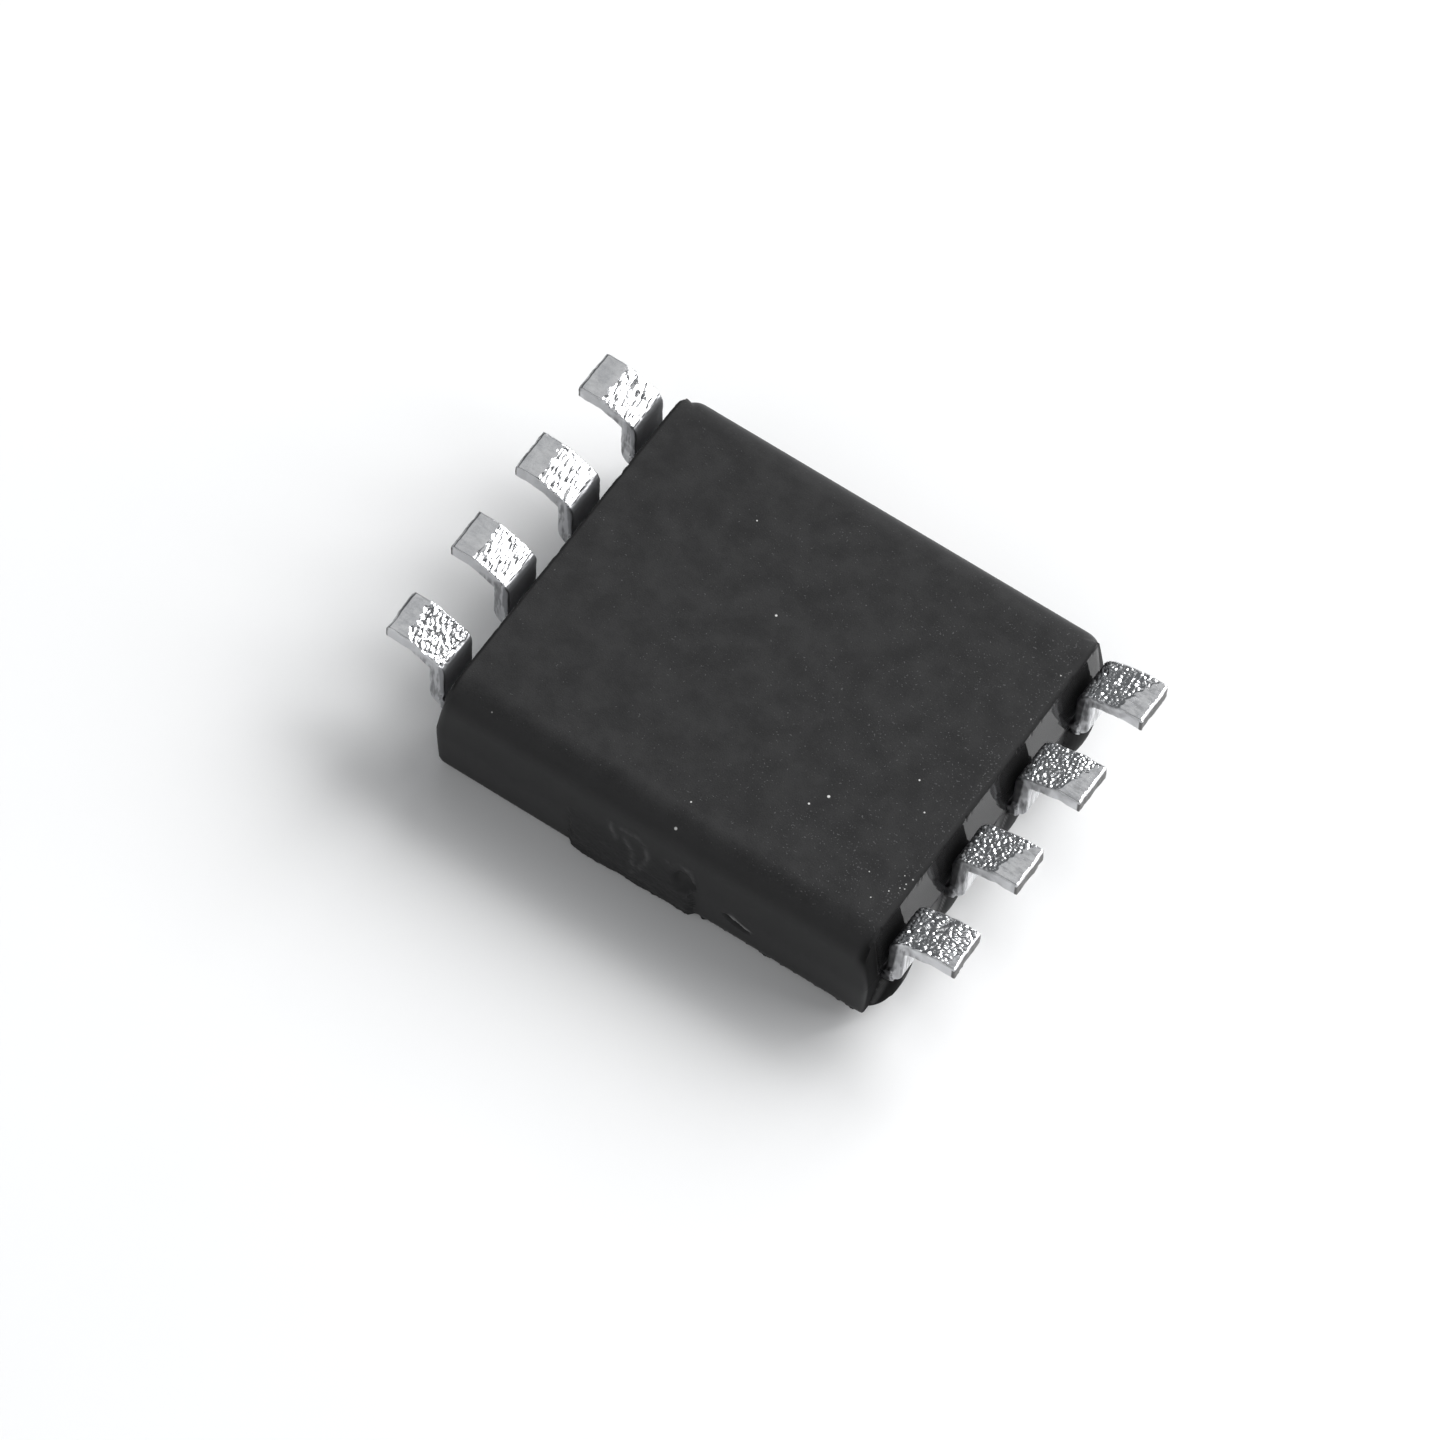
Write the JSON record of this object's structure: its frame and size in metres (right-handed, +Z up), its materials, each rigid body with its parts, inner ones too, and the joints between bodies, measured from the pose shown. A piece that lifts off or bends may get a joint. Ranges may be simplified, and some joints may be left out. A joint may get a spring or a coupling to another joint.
{
  "type": "bus transceiver chip",
  "caption": "Small-outline bus transceiver chip: drafted black moulded body with rows of bright gull-wing leads on both sides, lying on its marking face with the soles up.",
  "frame": {"origin": "middle of the marking face, which lies on the surface", "axes": "+X across the two rows of leads, +Y along the rows away from the broken gate, +Z up through the body to the underside and the soles"},
  "size_m": [0.0076, 0.0052, 0.0018],
  "materials": {
    "mould_compound": "fine matte on the broad faces, smooth on the walls",
    "tinned_lead": "bright tin plating, wrinkled at the heels",
    "frame_copper": "bare copper sheet",
    "die_glue": "silver-filled glue",
    "silicon": "polished silicon",
    "bond_wire": "bright gold wire"
  },
  "bodies": {
    "root": {"molded_body": "mould_compound", "lead_1": "tinned_lead", "lead_2": "tinned_lead", "lead_3": "tinned_lead", "lead_4": "tinned_lead", "lead_5": "tinned_lead", "lead_6": "tinned_lead", "lead_7": "tinned_lead", "lead_8": "tinned_lead", "die_pad": "frame_copper", "die_attach": "die_glue", "die": "silicon", "bond_wire_1": "bond_wire", "bond_wire_2": "bond_wire", "bond_wire_3": "bond_wire", "bond_wire_4": "bond_wire", "bond_wire_5": "bond_wire", "bond_wire_6": "bond_wire", "bond_wire_7": "bond_wire", "bond_wire_8": "bond_wire"}
  },
  "joints": []
}
